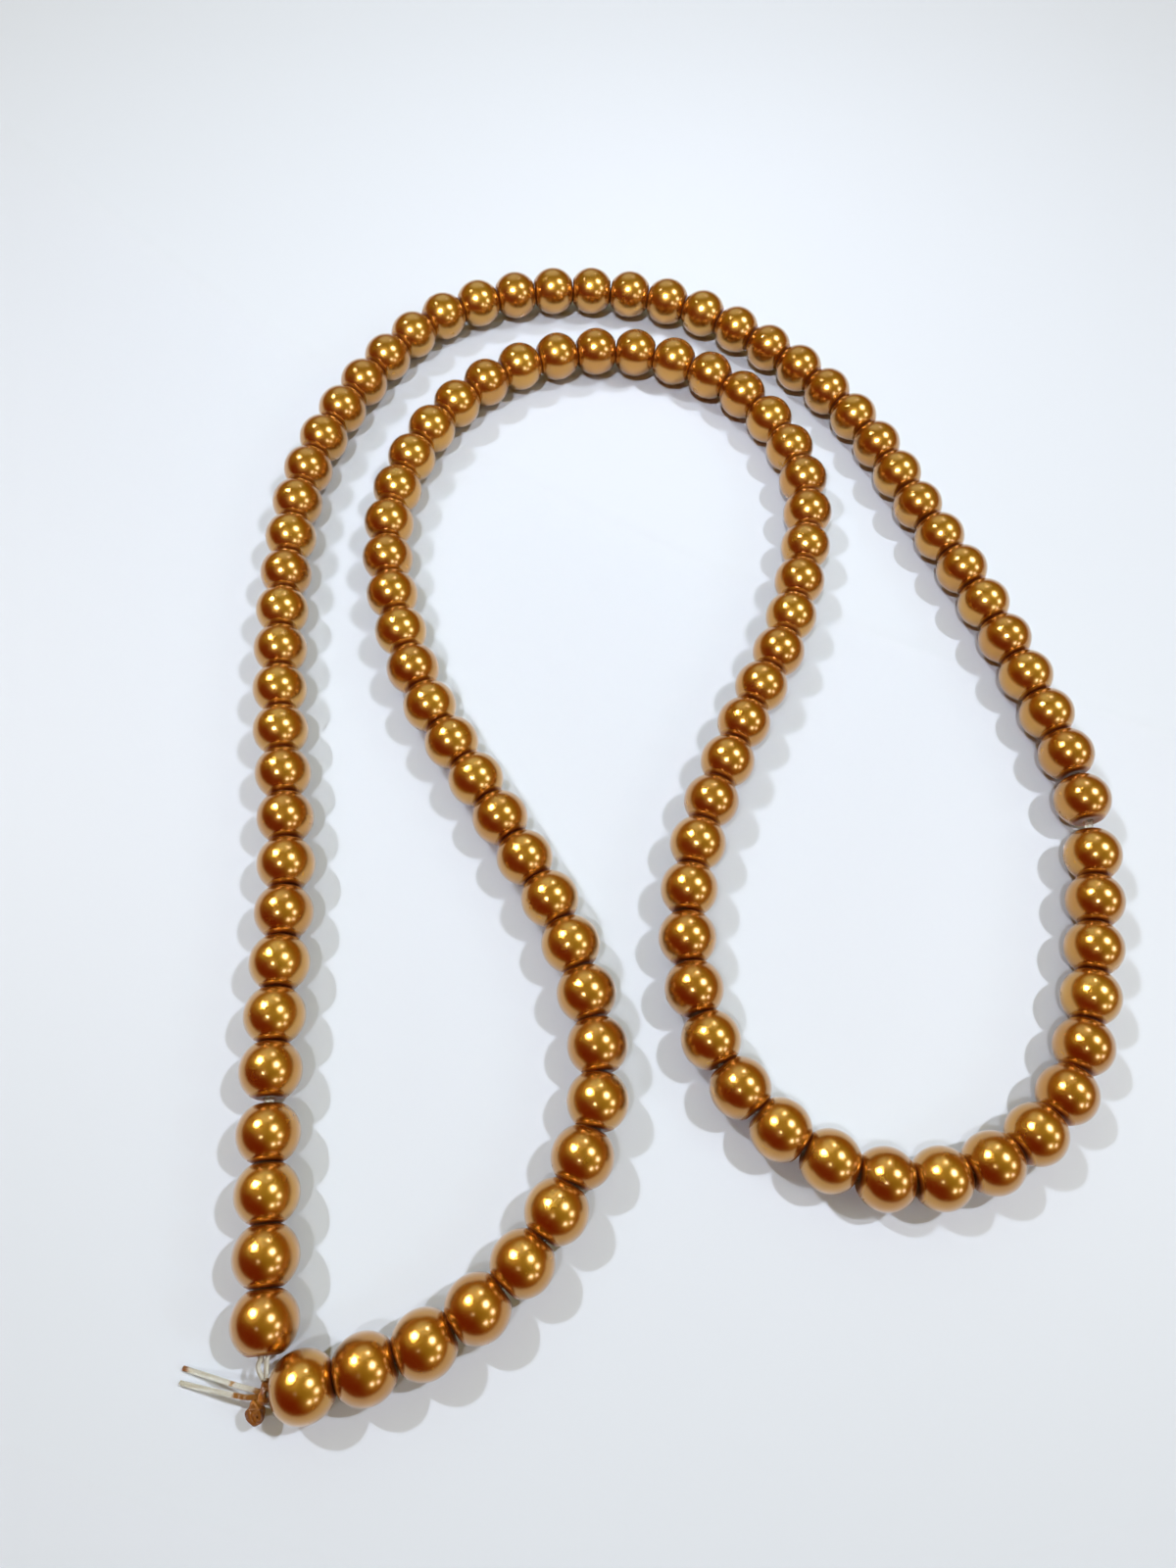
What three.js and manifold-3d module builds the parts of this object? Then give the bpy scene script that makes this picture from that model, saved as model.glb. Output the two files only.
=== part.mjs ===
// A strand of round golden-bronze glass pearls on doubled clear nylon thread, lying flat in a folded
// horseshoe loop. Millimetres, +Z up. The origin is the bottom centre of the bounding box, so the
// beads rest on z = 0, and +Y is the long way of the laid-out strand.
//
// The row of beads is two solids. In each the beads are joined where they touch, rim to rim round the
// thread. The thread shows only where the row is slack, and where it is knotted between the two end beads.

import * as THREE from "three";
import { mergeVertices } from "three/addons/utils/BufferGeometryUtils.js";
import Module from "manifold-3d";

// Beads
const BEAD_DIAMETER = 8;
const END_CUT = 0.5; // how much shorter the bead is at each end of its hole, where it is flat
const BEAD_PLAY = 0.07; // between two beads of the row
const BEAD_SIDES = 12;
const JOINT_DIAMETER = 3.2; // where two touching beads are one solid
const HOLE_DEPTH = 2; // of the hole that an end bead shows to the thread

// The rings that shape a bead, as shares of its half length and of its radius
const BEAD_RINGS = [
  { along: -0.83, out: 0.71 },
  { along: -0.36, out: 1.0 },
  { along: 0.36, out: 1.0 },
  { along: 0.83, out: 0.71 },
];

// Thread
const THREAD_DIAMETER = 0.6; // one strand of clear nylon; every bead holds two side by side
const THREAD_SIDES = 8;
const THREAD_REACH = 1.4; // how far a lead goes into the hole of its end bead
const CLEARANCE = 0.3; // between two solids

// Slack in the row: after this many beads the next one stands this much further on. The row's first
// solid ends at the widest gap.
const SLACK = [
  { afterBeads: 4, gap: 0.7 },
  { afterBeads: 47, gap: 0.5 },
  { afterBeads: 48, gap: 1.6 },
];

// The knot
const KNOT_WIDTH = 1.8;
const KNOT_LENGTH = 2.8;
const KNOT_DROP = 0.6; // of the knot's centre below the beads' centres
const FOLD_WIDTH = 2; // the small fold of thread that is caught below the knot
const FOLD_LENGTH = 2.8;
const TAIL_LENGTH = 10.3; // of each cut end, from the knot
const TAIL_SPREAD = 1.6; // between the tips of the two tails
const TAIL_TURN = 24; // degrees that the pair of tails turns from the last bead's axis
const FLOOR_GAP = 0.1; // below the tips of the tails

// The row's route over the table, through the centres of the beads, from the first bead to the last
const ROUTE = [
  [-43, -84.1], [-48, -56], [-51.5, -28], [-57.8, -0.5], [-61, 20.5], [-61.5, 42],
  [-55.5, 62.5], [-44, 80], [-25, 88.8], [-3.5, 88.5], [15, 79], [30, 64],
  [40, 46], [52.5, 20.3], [61.5, -6.8], [60.5, -29.5], [54.5, -50], [44, -59.5],
  [30, -62.5], [17, -57.5], [8, -47], [4.4, -33.2], [5.4, -19.2], [11.6, 0.8],
  [18.8, 20.6], [21, 49], [10.5, 67], [-9, 75], [-29.5, 69], [-42.5, 53],
  [-46.5, 32], [-38.5, 5], [-22.8, -18], [-11.5, -35.3], [-6.2, -55.7], [-13.8, -75.5],
  [-24.9, -85.4], [-37.4, -90.3],
];
const ROUTE_STEPS = 3000;

const BEAD_RADIUS = BEAD_DIAMETER / 2;
const BEAD_LENGTH = BEAD_DIAMETER - 2 * END_CUT;
const BEAD_PITCH = BEAD_LENGTH + BEAD_PLAY;
const RIM_DIAMETER = 2 * Math.sqrt(BEAD_RADIUS ** 2 - (BEAD_LENGTH / 2) ** 2); // the flat round a hole
const PAIR_DIAMETER = 2 * THREAD_DIAMETER;
const HOLE_DIAMETER = PAIR_DIAMETER + 2 * CLEARANCE;
const COLOURS = { bead: 0xa8762c, thread: 0xd9c9a4 };

const wasm = await Module();
wasm.setup();

function widestSlack() {
  return SLACK.reduce((widest, s) => (s.gap > widest.gap ? s : widest));
}

function slackAfter(beads) {
  const found = SLACK.find((s) => s.afterBeads === beads);
  return found ? found.gap : 0;
}

// Bead centres, one chord after another along the route, while the row's end keeps clear of its start
function placeBeads() {
  const points = ROUTE.map(([x, y]) => new THREE.Vector3(x, y, BEAD_RADIUS));
  const path = new THREE.CatmullRomCurve3(points, false, "centripetal").getPoints(ROUTE_STEPS);
  const centres = [path[0]];
  for (const [i, point] of path.entries()) {
    const last = centres[centres.length - 1];
    const step = BEAD_PITCH + slackAfter(centres.length);
    if (point.distanceTo(last) < step) continue;
    const before = path[i - 1];
    const share = (step - before.distanceTo(last)) / (point.distanceTo(last) - before.distanceTo(last));
    const centre = before.clone().lerp(point, share);
    const clear = centre.distanceTo(centres[0]) > BEAD_DIAMETER + CLEARANCE;
    if (centres.length > 1 && !clear) break;
    centres.push(centre);
  }
  return centres;
}

// The direction of each bead's hole: from the bead before it to the bead after it
function beadAxes(centres) {
  return centres.map((_, i) => {
    const before = centres[Math.max(i - 1, 0)];
    const after = centres[Math.min(i + 1, centres.length - 1)];
    return after.clone().sub(before).normalize();
  });
}

function ring(centre, axis, along, diameter) {
  return { at: centre.clone().addScaledVector(axis, along), axis, radius: diameter / 2 };
}

// A closed solid through many-sided rings, each with one of its flats facing down
function solidThroughRings(rings, sides) {
  const corner = 1 / Math.cos(Math.PI / sides);
  const position = [];
  const index = [];
  for (const { at, axis, radius } of rings) {
    const across = new THREE.Vector3(-axis.y, axis.x, 0).normalize();
    for (let k = 0; k < sides; k += 1) {
      const angle = -Math.PI / 2 + ((k + 0.5) / sides) * 2 * Math.PI;
      const out = radius * corner;
      const point = at.clone().addScaledVector(across, out * Math.cos(angle));
      position.push(point.x, point.y, point.z + out * Math.sin(angle));
    }
  }
  for (let r = 0; r + 1 < rings.length; r += 1) {
    for (let k = 0; k < sides; k += 1) {
      const a = r * sides + k;
      const b = r * sides + ((k + 1) % sides);
      index.push(a, b, b + sides, a, b + sides, a + sides);
    }
  }
  for (const end of [0, rings.length - 1]) {
    const { at } = rings[end];
    const middle = position.length / 3;
    position.push(at.x, at.y, at.z);
    for (let k = 0; k < sides; k += 1) {
      const a = end * sides + k;
      const b = end * sides + ((k + 1) % sides);
      index.push(...(end === 0 ? [b, a, middle] : [a, b, middle]));
    }
  }
  const geometry = new THREE.BufferGeometry();
  geometry.setAttribute("position", new THREE.Float32BufferAttribute(position, 3));
  geometry.setIndex(index);
  geometry.computeVertexNormals();
  return geometry;
}

// The open mouth of a hole in an end bead, from its floor to its rim; side is -1 before the bead, +1 after
function drilledEnd(centre, axis, side) {
  const face = side * (BEAD_LENGTH / 2);
  const floor = side * (BEAD_LENGTH / 2 - HOLE_DEPTH);
  const rings = [
    ring(centre, axis, floor, HOLE_DIAMETER),
    ring(centre, axis, face, HOLE_DIAMETER),
    ring(centre, axis, face, RIM_DIAMETER),
  ];
  return side < 0 ? rings : rings.reverse();
}

// What lies between two beads of one solid: a shared ring, or bare thread where the row is slack
function between(centres, axes, i) {
  const link = centres[i + 1].clone().sub(centres[i]);
  const middle = centres[i].clone().add(centres[i + 1]).multiplyScalar(0.5);
  if (slackAfter(i + 1) === 0) return [ring(middle, link.normalize(), 0, JOINT_DIAMETER)];
  return [
    ring(centres[i], axes[i], BEAD_LENGTH / 2, RIM_DIAMETER),
    ring(centres[i], axes[i], BEAD_LENGTH / 2, PAIR_DIAMETER),
    ring(centres[i + 1], axes[i + 1], -BEAD_LENGTH / 2, PAIR_DIAMETER),
    ring(centres[i + 1], axes[i + 1], -BEAD_LENGTH / 2, RIM_DIAMETER),
  ];
}

// The thread that leaves this solid's last bead and reaches into the open hole of the next solid's first
function threadIntoNext(centres, axes, i) {
  const link = centres[i + 1].clone().sub(centres[i]).normalize();
  const mouth = centres[i + 1].clone().addScaledVector(axes[i + 1], -BEAD_LENGTH / 2);
  return [
    ring(centres[i], axes[i], BEAD_LENGTH / 2, RIM_DIAMETER),
    ring(centres[i], axes[i], BEAD_LENGTH / 2, PAIR_DIAMETER),
    ring(mouth, link, 0, PAIR_DIAMETER),
    ring(mouth, axes[i + 1], THREAD_REACH, PAIR_DIAMETER),
  ];
}

function beadRow(name, centres, axes, first, last) {
  const rings = [...drilledEnd(centres[first], axes[first], -1)];
  for (let i = first; i <= last; i += 1) {
    for (const { along, out } of BEAD_RINGS) {
      rings.push(ring(centres[i], axes[i], (along * BEAD_LENGTH) / 2, out * BEAD_DIAMETER));
    }
    if (i < last) rings.push(...between(centres, axes, i));
  }
  if (last === centres.length - 1) rings.push(...drilledEnd(centres[last], axes[last], 1));
  else rings.push(...threadIntoNext(centres, axes, last));
  const material = new THREE.MeshStandardMaterial({
    color: COLOURS.bead,
    roughness: 0.22,
    metalness: 0.85,
  });
  const mesh = new THREE.Mesh(solidThroughRings(rings, BEAD_SIDES), material);
  mesh.name = name;
  return mesh;
}

function solidOf(geometry) {
  geometry.deleteAttribute("normal");
  geometry.deleteAttribute("uv");
  const merged = mergeVertices(geometry);
  return new wasm.Manifold(
    new wasm.Mesh({
      numProp: 3,
      vertProperties: merged.attributes.position.array,
      triVerts: new Uint32Array(merged.index.array),
    }),
  );
}

function roundRod(points, diameter, steps) {
  const outline = new THREE.Shape();
  for (let k = 0; k < THREAD_SIDES; k += 1) {
    const angle = ((k + 0.5) / THREAD_SIDES) * 2 * Math.PI;
    const out = diameter / 2;
    const corner = [out * Math.cos(angle), out * Math.sin(angle)];
    if (k === 0) outline.moveTo(...corner);
    else outline.lineTo(...corner);
  }
  const path = points.length > 2 ? new THREE.CatmullRomCurve3(points) : new THREE.LineCurve3(...points);
  const options = { steps, bevelEnabled: false, extrudePath: path };
  return solidOf(new THREE.ExtrudeGeometry(outline, options));
}

// A rounded lump whose long way points along a flat direction
function lump(centre, direction, width, length) {
  const geometry = new THREE.SphereGeometry(0.5, 12, 8);
  geometry.scale(width, length, width);
  const turn = new THREE.Quaternion().setFromUnitVectors(new THREE.Vector3(0, 1, 0), direction);
  geometry.applyQuaternion(turn);
  geometry.translate(centre.x, centre.y, centre.z);
  return solidOf(geometry);
}

// Leads, knot, fold and tails: one length of nylon, so one solid
function knottedThread(centres, axes) {
  const last = centres.length - 1;
  const inFirst = axes[0];
  const inLast = axes[last].clone().negate();
  const firstMouth = centres[0].clone().addScaledVector(inFirst, -BEAD_LENGTH / 2);
  const lastMouth = centres[last].clone().addScaledVector(inLast, -BEAD_LENGTH / 2);
  const knot = lastMouth.clone().addScaledVector(inLast, -(KNOT_WIDTH / 2 + CLEARANCE));
  const beside = new THREE.Vector3(-inLast.y, inLast.x, 0); // across the last hole, on the first bead's side
  knot.addScaledVector(beside, KNOT_LENGTH / 5);
  knot.z -= KNOT_DROP;
  const parts = [lump(knot, beside, KNOT_WIDTH, KNOT_LENGTH)];

  for (const [mouth, inward] of [[firstMouth, inFirst], [lastMouth, inLast]]) {
    const end = mouth.clone().addScaledVector(inward, THREAD_REACH);
    const bend = mouth.clone().addScaledVector(inward, -CLEARANCE);
    parts.push(roundRod([end, bend], PAIR_DIAMETER, 1));
    parts.push(lump(bend, beside, PAIR_DIAMETER, PAIR_DIAMETER));
    parts.push(roundRod([bend, knot], PAIR_DIAMETER, 1));
  }

  const fold = knot.clone().addScaledVector(beside, -(KNOT_LENGTH + FOLD_LENGTH) / 3.4);
  fold.addScaledVector(inLast, -(KNOT_WIDTH + FOLD_WIDTH) / 3);
  fold.z -= KNOT_DROP;
  parts.push(lump(fold, beside, FOLD_WIDTH, FOLD_LENGTH));

  const outward = inLast.clone().negate();
  outward.applyAxisAngle(new THREE.Vector3(0, 0, 1), THREE.MathUtils.degToRad(-TAIL_TURN));
  const sideways = new THREE.Vector3(-outward.y, outward.x, 0);
  for (const side of [-1, 1]) {
    const half = knot.clone().addScaledVector(outward, TAIL_LENGTH / 2);
    half.addScaledVector(sideways, (side * TAIL_SPREAD) / 3);
    half.z = (knot.z + THREAD_DIAMETER) / 2;
    const tip = knot.clone().addScaledVector(outward, TAIL_LENGTH);
    tip.addScaledVector(sideways, (side * TAIL_SPREAD) / 2);
    tip.z = THREAD_DIAMETER / 2 + FLOOR_GAP;
    parts.push(roundRod([knot, half, tip], THREAD_DIAMETER, 6));
  }

  const whole = parts.reduce((sum, part) => sum.add(part));
  const { vertProperties, triVerts } = whole.getMesh();
  const geometry = new THREE.BufferGeometry();
  geometry.setAttribute("position", new THREE.BufferAttribute(new Float32Array(vertProperties), 3));
  geometry.setIndex(new THREE.BufferAttribute(new Uint32Array(triVerts), 1));
  geometry.computeVertexNormals();
  const material = new THREE.MeshStandardMaterial({
    color: COLOURS.thread,
    roughness: 0.15,
    metalness: 0,
  });
  const mesh = new THREE.Mesh(geometry, material);
  mesh.name = "knotted_thread";
  return mesh;
}

const centres = placeBeads();
const axes = beadAxes(centres);
const outerBeads = widestSlack().afterBeads;
const group = new THREE.Group();
group.add(beadRow("bead_string_outer", centres, axes, 0, outerBeads - 1));
group.add(beadRow("bead_string_inner", centres, axes, outerBeads, centres.length - 1));
group.add(knottedThread(centres, axes));

// The origin goes to the bottom centre of the bounding box
const box = new THREE.Box3().setFromObject(group, true);
const middle = box.getCenter(new THREE.Vector3());
group.position.set(-middle.x, -middle.y, -box.min.z);

export default group;
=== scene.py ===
"""A strand of golden-bronze glass pearls on doubled clear nylon, laid flat in a folded loop on a table."""

import math
import random

import bmesh
import bpy
from mathutils import Matrix, Vector


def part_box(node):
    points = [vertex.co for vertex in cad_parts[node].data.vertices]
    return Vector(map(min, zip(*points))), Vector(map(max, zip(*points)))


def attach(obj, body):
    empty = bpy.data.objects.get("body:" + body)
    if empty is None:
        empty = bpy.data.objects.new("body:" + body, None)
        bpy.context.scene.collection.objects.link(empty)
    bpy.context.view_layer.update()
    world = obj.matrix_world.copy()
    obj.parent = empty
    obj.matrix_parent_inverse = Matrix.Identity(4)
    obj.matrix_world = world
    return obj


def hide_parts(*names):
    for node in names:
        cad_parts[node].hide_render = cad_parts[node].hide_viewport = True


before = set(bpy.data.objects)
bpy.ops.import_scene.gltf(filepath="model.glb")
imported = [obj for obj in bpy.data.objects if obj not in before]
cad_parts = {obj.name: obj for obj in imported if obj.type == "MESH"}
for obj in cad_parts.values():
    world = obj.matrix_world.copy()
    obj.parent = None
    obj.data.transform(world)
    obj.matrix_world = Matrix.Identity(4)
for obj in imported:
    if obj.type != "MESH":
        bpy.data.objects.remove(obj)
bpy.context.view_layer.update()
scene = bpy.context.scene


# Camera: a phone held low over the near end of the strand, looking down and away along +Y, so the
# near beads are seen from straight above and the far ones from about forty degrees.
CAMERA_PLACE = Vector((-0.01085, -0.08082, 0.14769))
CAMERA_DOWN = math.radians(64.09)
CAMERA_ROLL = math.radians(4.79)
FOCAL_PIXELS = 1125
PICTURE_LONG_SIDE = 1600
SENSOR = 36
NEAREST_SEEN = 0.005

camera = bpy.data.objects.new("camera", bpy.data.cameras.new("camera"))
camera.data.sensor_width = SENSOR
camera.data.lens = SENSOR * FOCAL_PIXELS / PICTURE_LONG_SIDE
camera.data.clip_start = NEAREST_SEEN
camera.matrix_world = (
    Matrix.Translation(CAMERA_PLACE)
    @ Matrix.Rotation(math.pi / 2 - CAMERA_DOWN, 4, "X")
    @ Matrix.Rotation(CAMERA_ROLL, 4, "Z")
)
scene.collection.objects.link(camera)
scene.camera = camera
scene.view_settings.view_transform = "Standard"


# Room: warm, with a bright stretch of wall beyond the far end of the strand and a dim side behind the
# camera, to the left. The beads mirror it: the wall as gold, the dim side as dark brown.
CEILING = (0.355, 0.285, 0.03)
HORIZON = (0.33, 0.115, 0.008)
WALL_GLOW = (0.78, 0.86, 0.70)
DIM_SIDE = (0.20, 0.022, 0.0005)


def fill(node, sockets):
    """Sets these sockets of the node, or links those whose value is a wire."""
    for key, value in sockets.items():
        if isinstance(value, Wire):
            node.id_data.links.new(value.socket, node.inputs[key])
        else:
            node.inputs[key].default_value = value


class Wire:
    """A socket in a node tree. Sums and products of wires add Math nodes to the same tree."""

    def __init__(self, tree, socket=None):
        self.tree = tree
        self.socket = socket

    def node(self, kind, settings=None, sockets=None, out=0):
        """The output of a new node of this kind in the same tree."""
        made = self.tree.nodes.new(kind)
        for name, value in (settings or {}).items():
            setattr(made, name, value)
        fill(made, sockets or {})
        return Wire(self.tree, made.outputs[out])

    def math(self, operation, *values):
        return self.node("ShaderNodeMath", {"operation": operation}, dict(enumerate((self, *values))))

    def __add__(self, other):
        return self.math("ADD", other)

    __radd__ = __add__

    def __mul__(self, other):
        return self.math("MULTIPLY", other)

    __rmul__ = __mul__

    def __sub__(self, other):
        return self.math("SUBTRACT", other)

    def __rsub__(self, other):
        return (self * -1) + other

    def between(self, low, high):
        """0 below low, 1 above high and smooth in between."""
        sockets = {"Value": self, "From Min": low, "From Max": high}
        return self.node("ShaderNodeMapRange", {"interpolation_type": "SMOOTHSTEP"}, sockets)

    def mix(self, first, second):
        """The first colour where this wire is 0, the second where it is 1."""
        first, second = (c if isinstance(c, Wire) else (*c, 1) for c in (first, second))
        return self.node("ShaderNodeMix", {"data_type": "RGBA"}, {0: self, 6: first, 7: second}, out=2)


def pointing(compass, rise):
    """The direction at this angle from +Y towards +X and this height angle, in degrees."""
    turn, lift = math.radians(compass), math.radians(rise)
    return Vector((math.sin(turn) * math.cos(lift), math.cos(turn) * math.cos(lift), math.sin(lift)))


room = bpy.data.worlds.new("room")
room.use_nodes = True
scene.world = room
sky = Wire(room.node_tree).node("ShaderNodeTexCoord", out="Generated")


def facing(compass, rise):
    """How squarely the sky direction faces this one: 1 straight at it, 0 across it."""
    sockets = {0: sky, 1: pointing(compass, rise)}
    return sky.node("ShaderNodeVectorMath", {"operation": "DOT_PRODUCT"}, sockets, out="Value")


# from the horizon up to the ceiling, then the wall's glow and the dim side over it
light = facing(0, 90).between(0.02, 0.75).mix(HORIZON, CEILING)
light = facing(-10, 38).between(0.87, 0.99).mix(light, WALL_GLOW)
light = facing(-145, 16).between(0.30, 0.85).mix(light, DIM_SIDE)
fill(room.node_tree.nodes["Background"], {"Color": light})


# Lamps: a few small ceiling lamps. Small discs light only the table and the thread, for crisp shadows.
# Bluer and larger ones light only the beads, whose gold lacquer mirrors them as cream spots.
LAMP_DISTANCE = 1.3
TABLE_WHITE = (1.0, 0.98, 0.96)
GLINT_WHITE = (0.55, 0.65, 0.92)
# angle from +Y towards +X, height angle, where along the table the lamp aims, width of its beam in degrees,
# its own width, its watts
TABLE_LAMPS = {
    "lamp_left": (-61, 51, -0.16, 80, 0.05, 1.42),
    "lamp_right": (68, 59, -0.16, 80, 0.05, 1.58),
    "lamp_right_low": (101, 34, 0, 180, 0.05, 2.0),
    "lamp_overhead": (-152, 68, 0.12, 22, 0.05, 0.14),
    "soft_ceiling": (0, 90, 0, 180, 1.6, 0.8),
}
MIRRORED_LAMPS = {
    "glint_left": (-61, 51, -0.145, 16.5, 0.14, 0.29),
    "glint_right": (68, 59, 0, 180, 0.44, 6.9),
    "glint_right_low": (101, 34, 0, 180, 0.32, 2.35),
    "glint_near_low": (143, 33, 0, 180, 0.24, 1.5),
    "glint_near_lower": (126, 22, 0, 180, 0.20, 0.8),
    "glint_overhead": (-147, 68, 0.225, 17, 0.22, 0.72),
    "glint_far": (8, 42, -0.18, 13, 0.12, 0.014),
}

table_only = bpy.data.collections.new("table_only")
strand_only = bpy.data.collections.new("strand_only")


def hang_lamps(lamps, colour, lit):
    for name, (compass, rise, aim, beam, width, watts) in lamps.items():
        data = bpy.data.lights.new(name, "AREA")
        data.shape = "DISK"
        data.size = width
        data.energy = watts
        data.spread = math.radians(beam)
        data.color = colour
        lamp = bpy.data.objects.new(name, data)
        lamp.location = pointing(compass, rise) * LAMP_DISTANCE
        lamp.rotation_euler = (lamp.location - Vector((0, aim, 0))).to_track_quat("Z", "Y").to_euler()
        lamp.visible_camera = False
        lamp.light_linking.receiver_collection = lit
        scene.collection.objects.link(lamp)


hang_lamps(TABLE_LAMPS, TABLE_WHITE, table_only)
hang_lamps(MIRRORED_LAMPS, GLINT_WHITE, strand_only)


# Table: a wide sheet of pale laminate. Away from the strand it fades into the colour of the backdrop, a dome
# that only the camera sees, in views from the side.
FLOOR_HALF = 4
FLOOR_COLOUR = (0.545, 0.63, 0.79)
FLOOR_ROUGHNESS = 0.5
FLOOR_SPECULAR = 0.3
FADE_START, FADE_END = 0.2, 0.8
BACKDROP = (0.73, 0.77, 0.82)
BACKDROP_RADIUS = 1.6 * FLOOR_HALF
BLACK = (0, 0, 0)


def new_material(name):
    """A material and its shader."""
    material = bpy.data.materials.new(name)
    material.use_nodes = True
    return material, material.node_tree.nodes["Principled BSDF"]


def pale_laminate():
    material, shader = new_material("pale_laminate")
    spot = Wire(material.node_tree).node("ShaderNodeTexCoord", out="Object")
    away = spot.node("ShaderNodeVectorMath", {"operation": "LENGTH"}, {0: spot}, out="Value")
    fade = away.between(FADE_START, FADE_END)
    fill(shader, {
        "Base Color": fade.mix(FLOOR_COLOUR, BLACK),
        "Roughness": FLOOR_ROUGHNESS,
        "Specular IOR Level": FLOOR_SPECULAR,
        "Emission Color": fade.mix(BLACK, BACKDROP),
        "Emission Strength": 1.0,
    })
    return material


def pale_backdrop():
    material, shader = new_material("pale_backdrop")
    fill(shader, {
        "Base Color": (*BLACK, 1),
        "Emission Color": (*BACKDROP, 1),
        "Emission Strength": 1.0,
    })
    return material


floor_mesh = bpy.data.meshes.new("floor")
corners = [(x * FLOOR_HALF, y * FLOOR_HALF, 0) for x, y in ((-1, -1), (1, -1), (1, 1), (-1, 1))]
floor_mesh.from_pydata(corners, [], [(0, 1, 2, 3)])
floor_mesh.materials.append(pale_laminate())
floor = bpy.data.objects.new("floor", floor_mesh)
scene.collection.objects.link(floor)
table_only.objects.link(floor)

backdrop_mesh = bpy.data.meshes.new("backdrop")
dome = bmesh.new()
bmesh.ops.create_uvsphere(dome, u_segments=32, v_segments=16, radius=BACKDROP_RADIUS)
bmesh.ops.reverse_faces(dome, faces=dome.faces)
dome.to_mesh(backdrop_mesh)
dome.free()
backdrop_mesh.materials.append(pale_backdrop())
backdrop = bpy.data.objects.new("backdrop", backdrop_mesh)
backdrop.visible_diffuse = False
backdrop.visible_glossy = False
backdrop.visible_transmission = False
backdrop.visible_shadow = False
scene.collection.objects.link(backdrop)


# Route: where the row lies on the table, through the centres of the beads from the first to the last, in
# millimetres. The beads are threaded rim to rim, with some slack after three of them.
ROUTE = [
    (-43, -84.1), (-48, -56), (-51.5, -28), (-57.8, -0.5), (-61, 20.5), (-61.5, 42),
    (-55.5, 62.5), (-44, 80), (-25, 88.8), (-3.5, 88.5), (15, 79), (30, 64),
    (40, 46), (52.5, 20.3), (61.5, -6.8), (60.5, -29.5), (54.5, -50), (44, -59.5),
    (30, -62.5), (17, -57.5), (8, -47), (4.4, -33.2), (5.4, -19.2), (11.6, 0.8),
    (18.8, 20.6), (21, 49), (10.5, 67), (-9, 75), (-29.5, 69), (-42.5, 53),
    (-46.5, 32), (-38.5, 5), (-22.8, -18), (-11.5, -35.3), (-6.2, -55.7), (-13.8, -75.5),
    (-24.9, -85.4), (-37.4, -90.3),
]  # fmt: skip
ROUTE_SHIFT = Vector((-0.0235, 0.3942))  # to the frame's origin, in millimetres
ROUTE_STEPS = 3000
MM = 0.001
BEAD_RADIUS = (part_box("bead_string_outer")[1].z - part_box("bead_string_outer")[0].z) / 2
END_CUT = 0.5 * MM
BEAD_LENGTH = 2 * BEAD_RADIUS - 2 * END_CUT
BEAD_PITCH = BEAD_LENGTH + 0.07 * MM
SLACK = {4: 0.7 * MM, 47: 0.5 * MM, 48: 1.6 * MM}


def smooth_way(points, steps):
    """The centripetal Catmull-Rom curve through the points."""
    points = [2 * points[0] - points[1], *points, 2 * points[-1] - points[-2]]
    spans = len(points) - 3
    way = []
    for step in range(steps + 1):
        span = min(int(step * spans / steps), spans - 1)
        t = step * spans / steps - span
        a, b, c, d = points[span : span + 4]
        u, v, w = ((q - p).length ** 0.5 for p, q in ((a, b), (b, c), (c, d)))
        leave = ((b - a) / u - (c - a) / (u + v) + (c - b) / v) * v
        arrive = ((c - b) / v - (d - b) / (v + w) + (d - c) / w) * v
        way.append(
            (2 * t**3 - 3 * t**2 + 1) * b
            + (t**3 - 2 * t**2 + t) * leave
            + (3 * t**2 - 2 * t**3) * c
            + (t**3 - t**2) * arrive
        )
    return way


def place_beads():
    """The centres of the beads, one chord of the route after another."""
    way = smooth_way([(Vector(point) + ROUTE_SHIFT) * MM for point in ROUTE], ROUTE_STEPS)
    places = [way[0]]
    for before, point in zip(way, way[1:]):
        step = BEAD_PITCH + SLACK.get(len(places), 0)
        gone, going = (before - places[-1]).length, (point - places[-1]).length
        if going >= step:
            places.append(before.lerp(point, (step - gone) / (going - gone)))
    return [place.to_3d() + Vector((0, 0, BEAD_RADIUS)) for place in places]


bead_places = place_beads()
bead_axes = [
    (bead_places[min(i + 1, len(bead_places) - 1)] - bead_places[max(i - 1, 0)]).normalized()
    for i in range(len(bead_places))
]


# Beads: pressed glass balls of 8 mm, drilled through, dipped in metallic bronze pearl lacquer and polished.
# The lacquer is thin and darker at the mouths of the hole, where the beads rub on each other; the brown there
# is also painted shade where neighbouring beads meet.
OUTER_BEADS = 48
HOLE_RADIUS = 0.68 * MM
LIP = 0.16 * MM  # rounding of the hole's mouth
SHOULDER = 0.3 * MM  # rounding between the ball and the flat at its end
BEAD_SIDES = 32
BEAD_ARC_STEPS = 16
HOLE_END_RIM = 0.8
HOLE_END_INSIDE = 1.2
WEAR_SHADE_START, WEAR_SHADE_END = 0.60, 0.82  # where along hole_end the worn lacquer and the painted shade at the mouths start and end
SIZE_SPREAD = 0.012
SIZE_SEED = 31
TURN_SEED = 3
TONE_SEED = 5
LACQUER_GOLD = (0.56, 0.27, 0.022)
LACQUER_BRONZE = (0.50, 0.215, 0.014)
# brown at the mouths: worn lacquer, and painted shade between neighbouring beads
MOUTH_WEAR_AND_SHADE = (0.32, 0.10, 0.012)
CLOUD_SCALE = 420.0
FLAKE_SCALE = 5200.0
FLAKE_STRENGTH = 0.03
FLAKE_HEIGHT = 0.01 * MM
COAT_IOR = 1.65
COAT_ROUGHNESS = 0.17


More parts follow.
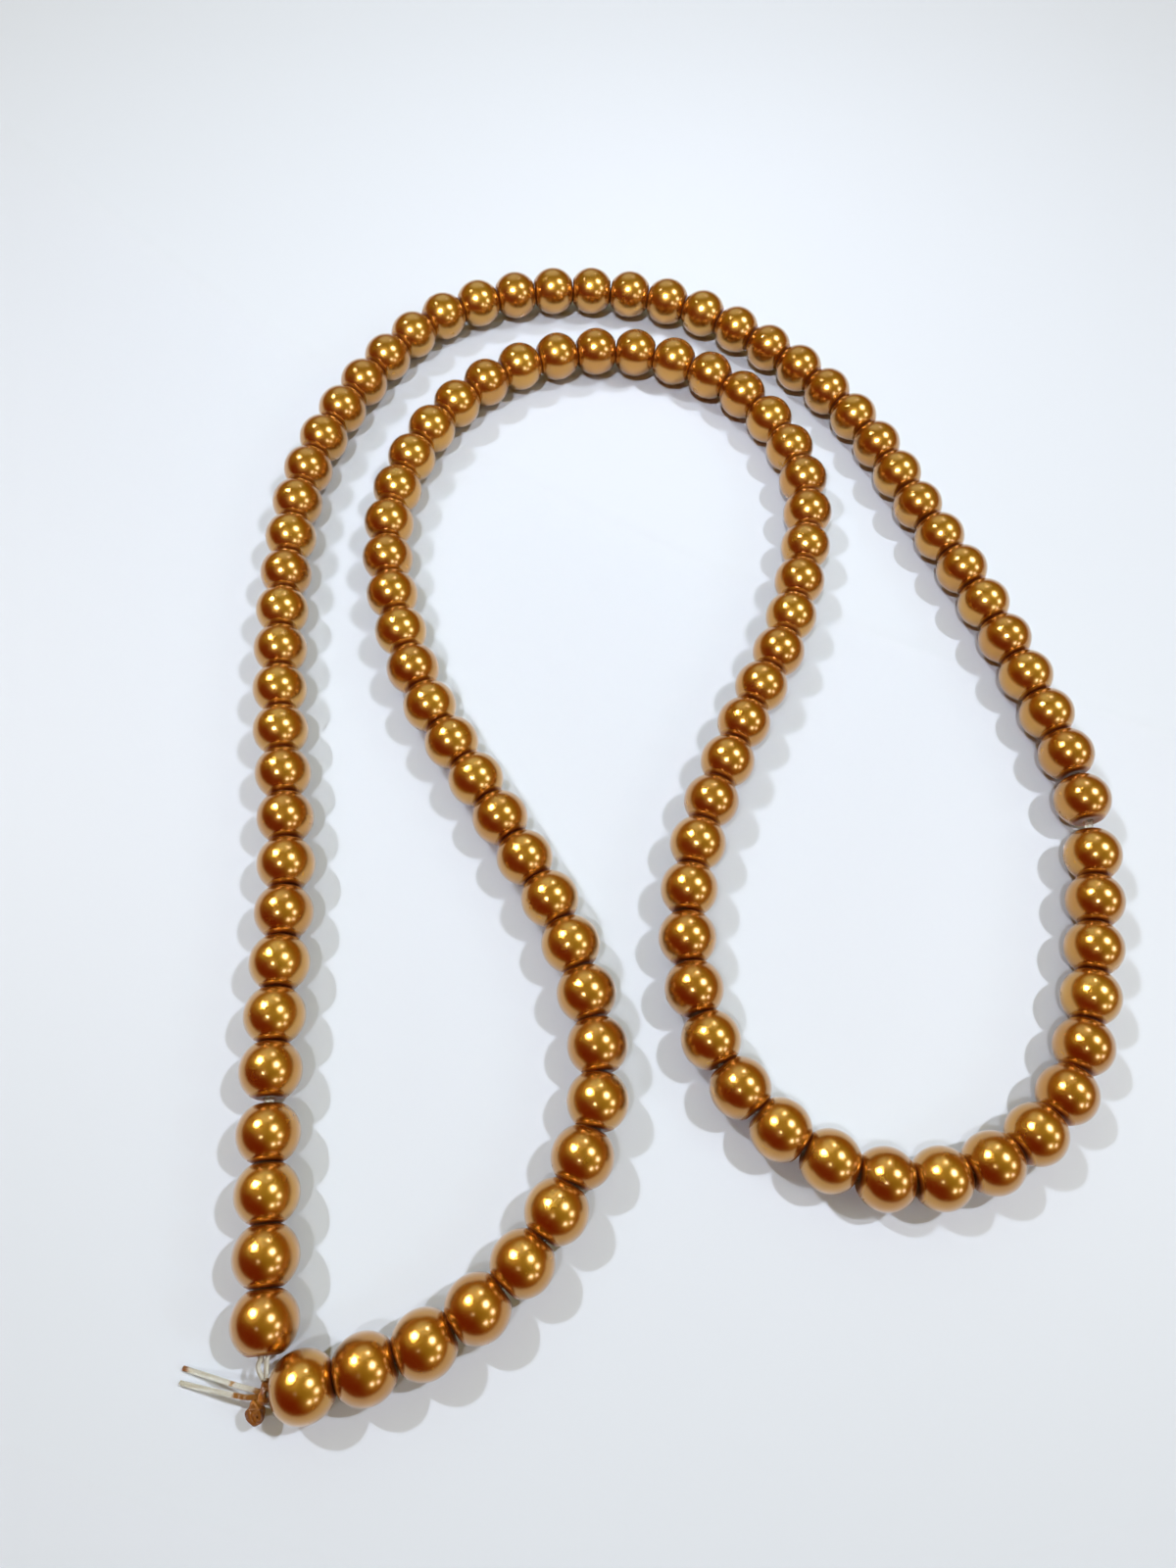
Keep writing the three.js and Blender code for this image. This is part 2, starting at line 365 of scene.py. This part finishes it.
def bead_outline():
    """A bead's outline, along and out from the axis of its hole, and the radius of the flat at its end."""
    half = BEAD_LENGTH / 2
    flat = math.sqrt(BEAD_RADIUS**2 - half**2)
    start = math.asin((half - SHOULDER) / BEAD_RADIUS)
    ball = []
    for step in range(BEAD_ARC_STEPS + 1):
        angle = start * (2 * step / BEAD_ARC_STEPS - 1)
        ball.append((BEAD_RADIUS * math.sin(angle), BEAD_RADIUS * math.cos(angle)))
    mouth = [
        (half - 0.35 * SHOULDER, flat + 0.30 * SHOULDER),
        (half - 0.06 * SHOULDER, flat - 0.35 * SHOULDER),
        (half, flat - 1.2 * SHOULDER),
        (half, HOLE_RADIUS + LIP),
        (half - 0.3 * LIP, HOLE_RADIUS + 0.3 * LIP),
        (half - LIP, HOLE_RADIUS),
    ]
    other_mouth = [(-along, out) for along, out in reversed(mouth)]
    return ball + mouth + other_mouth, flat


def turned_bead():
    """One bead, its hole along X. hole_end grows from its waist over the flat's rim to the hole's wall."""
    outline, flat = bead_outline()
    mesh = bmesh.new()
    ends = mesh.verts.layers.float.new("hole_end")
    rings = []
    for along, out in outline:
        ring = []
        for side in range(BEAD_SIDES):
            angle = 2 * math.pi * side / BEAD_SIDES
            vert = mesh.verts.new((along, out * math.cos(angle), out * math.sin(angle)))
            beyond = (out - HOLE_RADIUS) / (flat - HOLE_RADIUS)
            vert[ends] = HOLE_END_INSIDE + (HOLE_END_RIM - HOLE_END_INSIDE) * beyond
            ring.append(vert)
        rings.append(ring)
    for ring, following in zip(rings, rings[1:] + rings[:1]):
        for side in range(BEAD_SIDES):
            after = (side + 1) % BEAD_SIDES
            mesh.faces.new((ring[side], following[side], following[after], ring[after]))
    bmesh.ops.recalc_face_normals(mesh, faces=mesh.faces)
    for face in mesh.faces:
        face.smooth = True
    data = bpy.data.meshes.new("one_bead")
    mesh.to_mesh(data)
    mesh.free()
    return data


def group_with(name, kinds):
    """A new geometry tree, wires from its Geometry input and these named ones, and its output node."""
    tree = bpy.data.node_groups.new(name, "GeometryNodeTree")
    tree.interface.new_socket("Geometry", in_out="INPUT", socket_type="NodeSocketGeometry")
    for title, kind in kinds.items():
        tree.interface.new_socket(title, in_out="INPUT", socket_type=kind)
    tree.interface.new_socket("Geometry", in_out="OUTPUT", socket_type="NodeSocketGeometry")
    given = tree.nodes.new("NodeGroupInput")
    result = tree.nodes.new("NodeGroupOutput")
    return tree, {socket.name: Wire(tree, socket) for socket in given.outputs[:-1]}, result


def grown(name, data, tree, values):
    """The piece that the tree makes of this data, as a plain mesh on the body."""
    start = bpy.data.objects.new(name + "_start", data)
    scene.collection.objects.link(start)
    modifier = start.modifiers.new(tree.name, "NODES")
    modifier.node_group = tree
    for item in tree.interface.items_tree:
        if item.in_out == "INPUT" and item.name in values:
            modifier[item.identifier] = values[item.name]
    depsgraph = bpy.context.evaluated_depsgraph_get()
    mesh = bpy.data.meshes.new_from_object(start.evaluated_get(depsgraph))
    bpy.data.objects.remove(start)
    piece = bpy.data.objects.new(name, mesh)
    scene.collection.objects.link(piece)
    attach(piece, "root")
    return piece


def threading_tree():
    """Puts a bead on every point, along its hole_axis and turned about it at random."""
    kinds = {
        "Bead": "NodeSocketObject",
        "Lacquer": "NodeSocketMaterial",
        "Seed": "NodeSocketInt",
    }
    tree, given, result = group_with("thread_beads", kinds)
    wires = Wire(tree)

    def random_value(high, offset):
        sockets = {2: 0.0, 3: high, "Seed": given["Seed"] + offset}
        return wires.node("FunctionNodeRandomValue", {"data_type": "FLOAT"}, sockets, out=1)

    def stored(kind, name):
        return wires.node("GeometryNodeInputNamedAttribute", {"data_type": kind}, {"Name": name})

    upright = wires.node(
        "FunctionNodeAlignRotationToVector",
        {"axis": "X"},
        {"Vector": stored("FLOAT_VECTOR", "hole_axis")},
    )
    turn = wires.node("ShaderNodeCombineXYZ", sockets={0: random_value(2 * math.pi, 0)})
    spin = wires.node("FunctionNodeEulerToRotation", sockets={0: turn})
    turned = wires.node(
        "FunctionNodeRotateRotation",
        {"rotation_space": "LOCAL"},
        {"Rotation": upright, "Rotate By": spin},
    )
    bead = wires.node("GeometryNodeObjectInfo", sockets={"Object": given["Bead"]}, out="Geometry")
    placed = wires.node(
        "GeometryNodeInstanceOnPoints",
        sockets={
            "Points": given["Geometry"],
            "Instance": bead,
            "Rotation": turned,
            "Scale": stored("FLOAT", "bead_size"),
        },
    )
    toned = wires.node(
        "GeometryNodeStoreNamedAttribute",
        {"data_type": "FLOAT", "domain": "INSTANCE"},
        {"Geometry": placed, "Name": "bead_tone", "Value": random_value(1.0, TONE_SEED)},
    )
    real = wires.node("GeometryNodeRealizeInstances", sockets={"Geometry": toned})
    coated = wires.node(
        "GeometryNodeSetMaterial", sockets={"Geometry": real, "Material": given["Lacquer"]}
    )
    fill(result, {0: coated})
    return tree


def pearl_lacquer():
    """Metallic lacquer that differs a little from bead to bead, worn dull and brown at the hole's mouths,
    where the brown is also painted shade between beads.
    """
    material, shader = new_material("bronze_pearl_lacquer")
    wires = Wire(material.node_tree)
    place = wires.node("ShaderNodeTexCoord", out="Object")
    bead_tone = wires.node("ShaderNodeAttribute", {"attribute_name": "bead_tone"}, out="Fac")
    hole_end = wires.node("ShaderNodeAttribute", {"attribute_name": "hole_end"}, out="Fac")
    cloud = wires.node(
        "ShaderNodeTexNoise", sockets={"Vector": place, "Scale": CLOUD_SCALE, "Detail": 3.0}
    )
    flake = wires.node(
        "ShaderNodeTexNoise", sockets={"Vector": place, "Scale": FLAKE_SCALE, "Detail": 2.0}
    )
    tone = (bead_tone * 0.6 + cloud * 0.5).between(0.15, 0.95)
    # the mouths darken to brown: wear, and painted shade where neighbouring beads meet
    wear_and_shade = (hole_end + (cloud - 0.5) * 0.08).between(WEAR_SHADE_START, WEAR_SHADE_END)
    bump = wires.node(
        "ShaderNodeBump",
        sockets={"Height": flake, "Strength": FLAKE_STRENGTH, "Distance": FLAKE_HEIGHT},
    )
    fill(shader, {
        "Base Color": wear_and_shade.mix(tone.mix(LACQUER_BRONZE, LACQUER_GOLD), MOUTH_WEAR_AND_SHADE),
        "Metallic": 1.0,
        "Roughness": 0.24 + cloud * 0.05 + wear_and_shade * 0.2,
        "Coat Weight": 1 - wear_and_shade * 0.5,
        "Coat IOR": COAT_IOR,
        "Coat Roughness": COAT_ROUGHNESS,
        "Normal": bump,
    })
    return material


lacquer = pearl_lacquer()
one_bead = bpy.data.objects.new("one_bead", turned_bead())
threading = threading_tree()
size_choice = random.Random(SIZE_SEED)
bead_sizes = [1 - SIZE_SPREAD * size_choice.random() for _ in bead_places]


def bead_row(name, first, last, node):
    """The beads from first up to last, as one piece that stands for a CAD node."""
    points = bpy.data.meshes.new(name)
    places = []
    for place, size in zip(bead_places[first:last], bead_sizes[first:last]):
        places.append((place.x, place.y, BEAD_RADIUS * size))
    points.from_pydata(places, [], [])
    axes = points.attributes.new("hole_axis", "FLOAT_VECTOR", "POINT")
    axes.data.foreach_set("vector", [part for axis in bead_axes[first:last] for part in axis])
    sizes = points.attributes.new("bead_size", "FLOAT", "POINT")
    sizes.data.foreach_set("value", bead_sizes[first:last])
    values = {"Bead": one_bead, "Lacquer": lacquer, "Seed": first + TURN_SEED}
    row = grown(name, points, threading, values)
    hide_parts(node)
    strand_only.objects.link(row)


bead_row("beads_outer", 0, OUTER_BEADS, "bead_string_outer")
bead_row("beads_inner", OUTER_BEADS, len(bead_places), "bead_string_inner")
bpy.data.objects.remove(one_bead)


# Thread: clear nylon of 0.6 mm, doubled through every bead. It shows as a glint in the slack places and
# as the leads that come out of the two end beads to the knot.
STRAND_RADIUS = 0.3 * MM
STRAND_SIDES = 8
NYLON = (0.95, 0.95, 0.86)
NYLON_CLEARNESS = 0.85
NYLON_ROUGHNESS = 0.1
NYLON_IOR = 1.53
AMBER = (0.46, 0.19, 0.035)
RIPPLE_SCALE = 1500.0
RIPPLE = 0.6 * MM
# centre and radius of each place where the clear thread turns amber, in millimetres
AMBER_SPOTS = [
    ((-42.2, -91.2, 3.3), 1.25),
    ((-43.4, -91.55, 2.9), 0.8),
    ((-44.2, -91.55, 2.65), 0.7),
    ((-45.0, -91.5, 2.45), 0.65),
    ((-45.8, -90.3, 2.4), 0.45),
    ((-52.3, -89.3, 0.35), 0.8),
]


def nylon(name, colour, clearness, roughness):
    """Nylon of this colour, amber at each of the amber spots."""
    material, shader = new_material(name)
    wires = Wire(material.node_tree)
    place = wires.node("ShaderNodeTexCoord", out="Object")
    ripple = wires.node("ShaderNodeTexNoise", sockets={"Vector": place, "Scale": RIPPLE_SCALE})
    for centre, radius in AMBER_SPOTS:
        sockets = {0: place, 1: Vector(centre) * MM}
        away = wires.node("ShaderNodeVectorMath", {"operation": "DISTANCE"}, sockets, out="Value")
        outside_spot = (away + (ripple - 0.5) * RIPPLE).between(0.55 * radius * MM, 1.05 * radius * MM)
        colour = outside_spot.mix(AMBER, colour)
    fill(shader, {
        "Base Color": colour,
        "Roughness": roughness,
        "IOR": NYLON_IOR,
        "Transmission Weight": clearness,
    })
    return material


def strand_tree():
    """Draws a round strand along every line."""
    kinds = {
        "Strand Radius": "NodeSocketFloat",
        "Sides": "NodeSocketInt",
        "Nylon": "NodeSocketMaterial",
    }
    tree, given, result = group_with("draw_strand", kinds)
    wires = Wire(tree)
    circle = wires.node(
        "GeometryNodeCurvePrimitiveCircle",
        sockets={"Resolution": given["Sides"], "Radius": given["Strand Radius"]},
    )
    tube = wires.node(
        "GeometryNodeCurveToMesh",
        sockets={"Curve": given["Geometry"], "Profile Curve": circle, "Fill Caps": True},
    )
    smooth = wires.node("GeometryNodeSetShadeSmooth", sockets={"Geometry": tube})
    real = wires.node("GeometryNodeRealizeInstances", sockets={"Geometry": smooth})
    coated = wires.node(
        "GeometryNodeSetMaterial", sockets={"Geometry": real, "Material": given["Nylon"]}
    )
    fill(result, {0: coated})
    return tree


drawing = strand_tree()
clear_nylon = nylon("clear_nylon", NYLON, NYLON_CLEARNESS, NYLON_ROUGHNESS)


def strands(name, ways, sides=STRAND_SIDES, radius=STRAND_RADIUS, material=clear_nylon):
    """One piece of several strands, each along its own list of points."""
    curve = bpy.data.curves.new(name, "CURVE")
    curve.dimensions = "3D"
    for way in ways:
        spline = curve.splines.new("POLY")
        spline.points.add(len(way) - 1)
        spline.points.foreach_set("co", [part for point in way for part in (*point, 1)])
    values = {"Strand Radius": radius, "Sides": sides, "Nylon": material}
    piece = grown(name, curve, drawing, values)
    table_only.objects.link(piece)
    return piece


def strung_strand(side):
    """One of the two strands, from the first bead's mouth through every bead to the last one's."""
    way = []
    for place, axis in zip(bead_places, bead_axes):
        across = Vector((-axis.y, axis.x, 0)) * side * STRAND_RADIUS
        for along in (-0.5, 0.5):
            way.append(place + axis * along * BEAD_LENGTH + across)
    return way


strands("strung_thread", [strung_strand(-1), strung_strand(1)])


# Leads: the doubled thread comes out of the first bead and of the last one, and both pairs run into the knot.
# They are the same clear nylon, and one strand bows out to the left on its way.
KNOT_TOP = Vector((-41.75, -89.6, 4.3)) * MM
KNOT_BOTTOM = Vector((-41.45, -92.0, 3.1)) * MM
LEAD_BOW = Vector((-42.85, -88.35, 4.0)) * MM
LEAD_STEPS = 16
first_mouth = bead_places[0] - bead_axes[0] * BEAD_LENGTH / 2
last_mouth = bead_places[-1] + bead_axes[-1] * BEAD_LENGTH / 2

leads = []
for side, bow in ((1, [LEAD_BOW]), (-1, [])):
    across = Vector((-bead_axes[0].y, bead_axes[0].x, 0)) * side * STRAND_RADIUS
    start = first_mouth + across
    points = [start + bead_axes[0] * MM, start, *bow, KNOT_TOP + across * 0.4]
    leads.append(smooth_way(points, LEAD_STEPS))
across = Vector((-bead_axes[-1].y, bead_axes[-1].x, 0)) * STRAND_RADIUS
for side in (-1, 1):
    start = last_mouth + across * side
    leads.append([start - bead_axes[-1] * MM, start, KNOT_TOP.lerp(KNOT_BOTTOM, 0.4) + across * side])
strands("thread_leads", leads)


# Knot and fold: the thread is tied close to the last bead, and a small fold of it is wound up below the knot.
# Both are melted a little and a glossy amber brown.
WOUND_AMBER_BROWN = (0.185, 0.064, 0.011)
WOUND_CLEARNESS = 0.1
WOUND_ROUGHNESS = 0.08
WOUND_RADIUS = 0.25 * MM
KNOT_PLACE = KNOT_TOP.lerp(KNOT_BOTTOM, 0.5)
KNOT_SIZE = Vector((0.52, 1.15, 0.5)) * MM
FOLD_PLACE = Vector((-42.55, -92.95, 2.5)) * MM
FOLD_SIZE = Vector((0.84, 1.1, 0.7)) * MM
amber_brown_nylon = nylon("amber_brown_nylon", WOUND_AMBER_BROWN, WOUND_CLEARNESS, WOUND_ROUGHNESS)


def balled(centre, size, turns, drift, steps):
    """A strand wound into a small oval lump, whose turns lean over and drift round as it goes."""
    way = []
    for step in range(steps + 1):
        t = 2 * math.pi * step / steps
        lean = 0.95 + 0.45 * math.sin(2.3 * t) + 0.2 * math.sin(7.1 * t + 1)
        bulge = 1 + 0.09 * math.sin(5.7 * t + 0.7) + 0.06 * math.sin(13.3 * t)
        first = Vector((math.cos(drift * t), 0, math.sin(drift * t)))
        second = Vector((-first.z * math.cos(lean), math.sin(lean), first.x * math.cos(lean)))
        offset = (first * math.cos(turns * t) + second * math.sin(turns * t)) * bulge
        way.append(centre + offset * size)
    return way


knot = strands(
    "thread_knot",
    [balled(KNOT_PLACE, KNOT_SIZE, 8, 2.6, 230), balled(KNOT_PLACE, KNOT_SIZE * 0.5, 4, 1.4, 80)],
    radius=WOUND_RADIUS,
    material=amber_brown_nylon,
)
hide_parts("knotted_thread")
strands(
    "thread_fold",
    [balled(FOLD_PLACE, FOLD_SIZE, 9, 2.4, 260), balled(FOLD_PLACE, FOLD_SIZE * 0.55, 5, 1.4, 100)],
    radius=WOUND_RADIUS,
    material=amber_brown_nylon,
)


# Tails: the two cut ends of the clear thread, which lean from the knot to the table and rest on it.
# Their points run from the knot to the cut end, in millimetres.
TAIL_SIDES = 12
TAIL_STEPS = 24
LONGER_TAIL = [
    (-42.2, -90.8, 3.5),
    (-43.6, -90.62, 3.1),
    (-45.64, -90.36, 2.35),
    (-49.0, -89.82, 1.1),
    (-52.25, -89.27, 0.36),
]
LOWER_TAIL = [
    (-42.2, -91.2, 3.2),
    (-43.6, -91.5, 2.85),
    (-45.5, -91.42, 2.3),
    (-49.0, -91.15, 1.1),
    (-52.25, -90.78, 0.36),
]
tails = []
for points in (LONGER_TAIL, LOWER_TAIL):
    tails.append(smooth_way([Vector(point) * MM for point in points], TAIL_STEPS))
strands("thread_tails", tails, sides=TAIL_SIDES)
